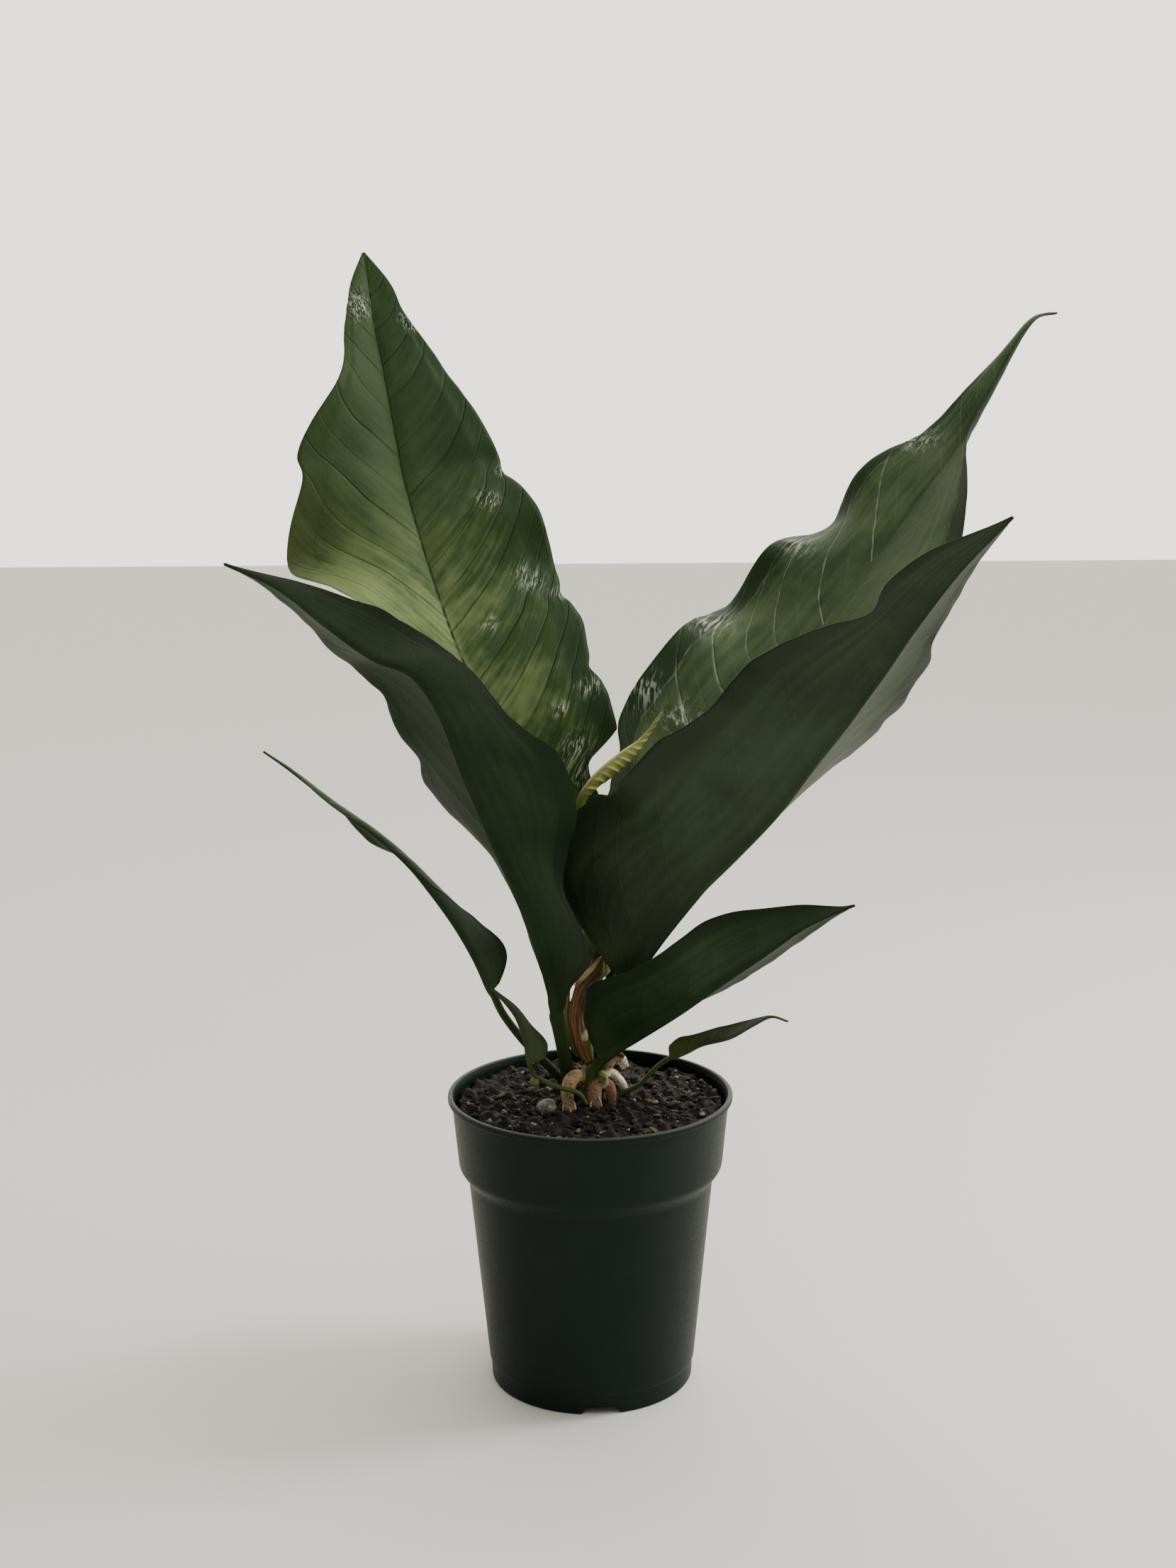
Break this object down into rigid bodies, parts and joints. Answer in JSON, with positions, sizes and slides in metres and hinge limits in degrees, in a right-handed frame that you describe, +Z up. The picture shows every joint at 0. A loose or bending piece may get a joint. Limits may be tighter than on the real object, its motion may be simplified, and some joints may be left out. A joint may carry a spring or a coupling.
{
  "type": "potted waterdragon anthurium",
  "caption": "Bird's-nest type anthurium with long waved leaves on short stalks, rooted in bark mix in a round nursery pot.",
  "frame": {"origin": "centre of the pot's underside, in the plane that the pot stands on", "axes": "+Z up; X to the right and Y away, seen from the side that shows both tall front leaves"},
  "size_m": [0.4883, 0.3789, 0.6602],
  "materials": {
    "pot_plastic": "semi-gloss dark green injection-moulded polypropylene",
    "potting_mix": "coarse dark bark and peat mix with white perlite",
    "perlite": "matte grey-white porous lump",
    "crown": "green-brown stem with cream and tan aerial roots",
    "sheath_dry": "brown papery dry sheath",
    "sheath_green": "yellow-green fresh sheath",
    "young_leaf": "glossy yellow-green rolled young leaf",
    "leaf": "glossy dark green above, duller and paler beneath, with paler veins"
  },
  "bodies": {
    "root": {"pot": "pot_plastic", "potting_mix": "potting_mix", "perlite_lump": "perlite", "crown_with_roots": "crown", "sheath_dry": "sheath_dry", "sheath_green": "sheath_green", "new_leaf": "young_leaf", "leaf_back_left": "leaf", "leaf_back_right": "leaf", "leaf_front_right": "leaf", "leaf_front_left": "leaf", "leaf_low_left": "leaf", "leaf_low_right": "leaf", "leaf_small_right": "leaf", "leaf_small_left": "leaf"}
  },
  "joints": []
}
